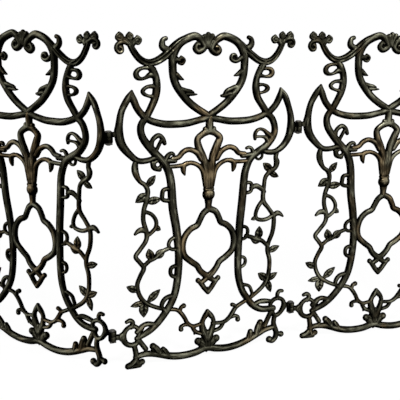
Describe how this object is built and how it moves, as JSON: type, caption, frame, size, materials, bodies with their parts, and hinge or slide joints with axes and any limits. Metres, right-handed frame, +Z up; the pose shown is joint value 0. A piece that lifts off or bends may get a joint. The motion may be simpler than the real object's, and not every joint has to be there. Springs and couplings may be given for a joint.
{
  "type": "folding fireplace screen",
  "caption": "Free-standing folding fire screen of cast-iron openwork panels, with heart crest, quatrefoil and leafy vines, hung on pin hinges.",
  "frame": {"origin": "on the floor, under the middle of the bounding box of the screen as it stands folded in the picture", "axes": "+X along the centre panel, to the right seen from the front; +Y from the front towards the fire; +Z up"},
  "size_m": [1.1038, 0.4218, 0.72],
  "materials": {
    "cast_iron": "blackened cast iron with rubbed bronze highlights",
    "hinge_metal": "blackened steel"
  },
  "bodies": {
    "centre_panel": {"centre_base_rail": "cast_iron", "centre_corner_left": "cast_iron", "centre_corner_right": "cast_iron", "centre_crescent_left": "cast_iron", "centre_crescent_right": "cast_iron", "centre_heart_left": "cast_iron", "centre_heart_right": "cast_iron", "centre_horn_left": "cast_iron", "centre_horn_right": "cast_iron", "centre_lower_left_eye": "cast_iron", "centre_lower_right_eye": "cast_iron", "centre_quatrefoil": "cast_iron", "centre_spray": "cast_iron", "centre_stile_left": "cast_iron", "centre_stile_right": "cast_iron", "centre_swag": "cast_iron", "centre_upper_left_eye": "cast_iron", "centre_upper_right_eye": "cast_iron", "centre_vine_left": "cast_iron", "centre_vine_right": "cast_iron", "left_hinge_nuts": "hinge_metal", "left_hinge_pins": "hinge_metal", "right_hinge_nuts": "hinge_metal", "right_hinge_pins": "hinge_metal"},
    "left_panel": {"left_base_rail": "cast_iron", "left_corner_left": "cast_iron", "left_corner_right": "cast_iron", "left_crescent_left": "cast_iron", "left_crescent_right": "cast_iron", "left_heart_left": "cast_iron", "left_heart_right": "cast_iron", "left_horn_left": "cast_iron", "left_horn_right": "cast_iron", "left_lower_right_eye": "cast_iron", "left_quatrefoil": "cast_iron", "left_spray": "cast_iron", "left_stile_left": "cast_iron", "left_stile_right": "cast_iron", "left_swag": "cast_iron", "left_upper_right_eye": "cast_iron", "left_vine_left": "cast_iron", "left_vine_right": "cast_iron"},
    "right_panel": {"right_base_rail": "cast_iron", "right_corner_left": "cast_iron", "right_corner_right": "cast_iron", "right_crescent_left": "cast_iron", "right_crescent_right": "cast_iron", "right_heart_left": "cast_iron", "right_heart_right": "cast_iron", "right_horn_left": "cast_iron", "right_horn_right": "cast_iron", "right_lower_left_eye": "cast_iron", "right_quatrefoil": "cast_iron", "right_spray": "cast_iron", "right_stile_left": "cast_iron", "right_stile_right": "cast_iron", "right_swag": "cast_iron", "right_upper_left_eye": "cast_iron", "right_vine_left": "cast_iron", "right_vine_right": "cast_iron"}
  },
  "joints": [
    {"name": "left_hinge", "type": "hinge", "parent": "centre_panel", "child": "left_panel", "pos_m": [-0.30613, -0.14004, 0.3], "axis": [0, 0, 1], "range_deg": [-59.7, 170.3]},
    {"name": "right_hinge", "type": "hinge", "parent": "centre_panel", "child": "right_panel", "pos_m": [0.12987, -0.14004, 0.3], "axis": [0, 0, 1], "range_deg": [-106.3, 123.7]}
  ]
}
